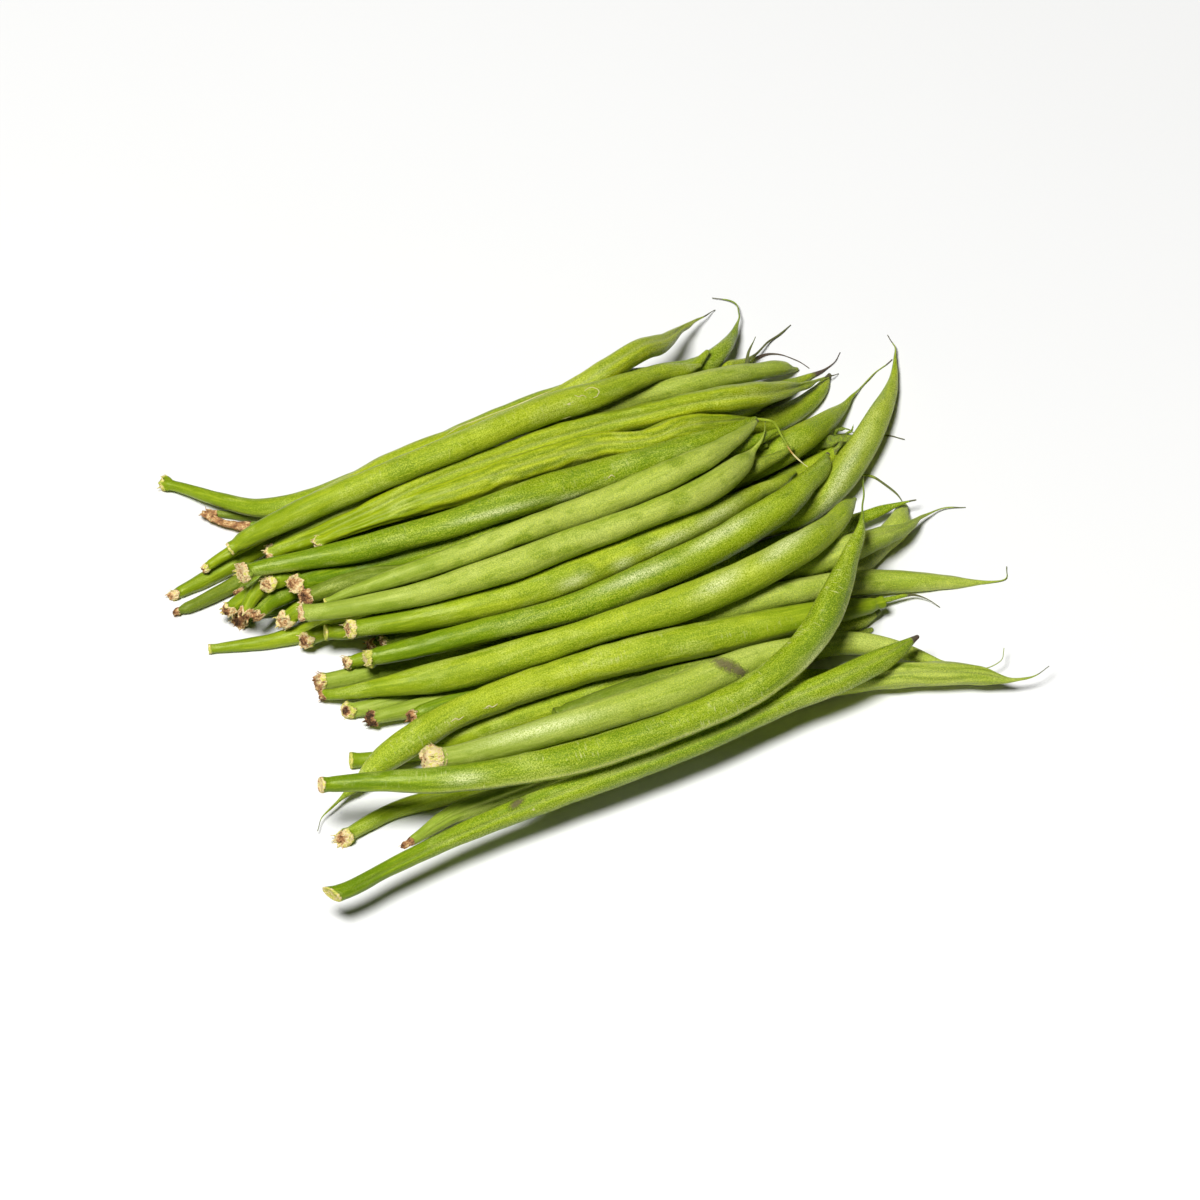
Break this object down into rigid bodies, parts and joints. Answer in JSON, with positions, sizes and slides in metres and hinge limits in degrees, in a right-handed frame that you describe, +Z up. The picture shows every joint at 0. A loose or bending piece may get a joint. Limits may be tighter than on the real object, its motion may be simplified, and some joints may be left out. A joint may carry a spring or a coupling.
{
  "type": "green bean bundle",
  "caption": "Loose bundle of fresh green beans lying side by side on a surface, stem ends together at one end and thin curled tips at the other.",
  "frame": {"origin": "on the surface that the bundle lies on, under the middle of its box", "axes": "+X along the beans from their stem ends to their tips, +Z up from the surface"},
  "size_m": [0.2128, 0.1598, 0.0354],
  "materials": {
    "fresh": "satin, fresh green pod skin with a soft lengthwise sheen",
    "deep": "satin, deeper green pod skin",
    "pale": "satin, pale green pod skin with a fine velvet bloom",
    "bright": "satin, bright yellow-green pod skin, ribbed over the seeds",
    "dull": "matt, duller green pod skin inside the heap"
  },
  "bodies": {
    "root": {"bean_01": "fresh", "bean_02": "fresh", "bean_03": "bright", "bean_04": "pale", "bean_05": "bright", "bean_06": "bright", "bean_07": "deep", "bean_08": "pale", "bean_09": "pale", "bean_10": "fresh", "bean_11": "deep", "bean_12": "fresh", "bean_13": "fresh", "bean_14": "pale", "bean_15": "deep", "bean_16": "deep", "bean_17": "fresh", "bean_18": "pale", "bean_19": "pale", "bean_20": "fresh", "bean_21": "pale", "bean_22": "fresh", "bean_23": "fresh", "bean_24": "dull", "bean_25": "deep", "bean_26": "dull", "bean_27": "fresh", "bean_28": "deep", "bean_29": "dull", "bean_30": "pale", "bean_31": "deep", "bean_32": "deep", "bean_33": "fresh", "bean_34": "dull", "bean_35": "fresh", "bean_36": "fresh", "bean_37": "fresh", "bean_38": "fresh", "bean_39": "deep", "bean_40": "fresh", "bean_41": "deep", "bean_42": "deep", "bean_43": "dull", "bean_44": "dull", "bean_45": "dull"}
  },
  "joints": []
}
